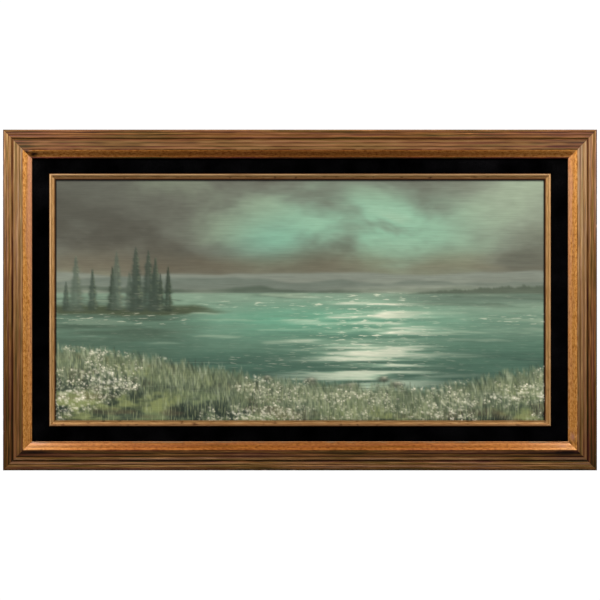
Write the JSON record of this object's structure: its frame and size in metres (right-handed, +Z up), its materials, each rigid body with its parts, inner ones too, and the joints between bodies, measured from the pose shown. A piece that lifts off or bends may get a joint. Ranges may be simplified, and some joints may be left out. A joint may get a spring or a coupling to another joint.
{
  "type": "oil painting",
  "caption": "Wide framed oil painting: canvas in a gilt fillet and a black velvet liner, set in a reeded, toned gilt wooden moulding with a flat back that hangs on a wall.",
  "frame": {"origin": "middle of the top rail's flat back face, on the plane of the wall", "axes": "+X to the viewer's right along the frame's width, +Y into the wall, +Z up; the picture faces -Y"},
  "size_m": [1.453, 0.0542, 0.8337],
  "materials": {
    "moulding": "satin",
    "velvet": "matte",
    "gilding": "satin",
    "painting": "satin",
    "softwood": "matte",
    "hanger": "satin",
    "nail": "satin"
  },
  "bodies": {
    "root": {"frame_rail_top": "moulding", "frame_rail_right": "moulding", "frame_rail_bottom": "moulding", "frame_rail_left": "moulding", "velvet_liner_top": "velvet", "velvet_liner_right": "velvet", "velvet_liner_bottom": "velvet", "velvet_liner_left": "velvet", "gilt_fillet_top": "gilding", "gilt_fillet_right": "gilding", "gilt_fillet_bottom": "gilding", "gilt_fillet_left": "gilding", "canvas": "painting", "stretcher_bar_top": "softwood", "stretcher_bar_right": "softwood", "stretcher_bar_bottom": "softwood", "stretcher_bar_left": "softwood", "hanger_left": "hanger", "hanger_right": "hanger", "hanger_left_nail_1": "nail", "hanger_left_nail_2": "nail", "hanger_right_nail_1": "nail", "hanger_right_nail_2": "nail"}
  },
  "joints": []
}
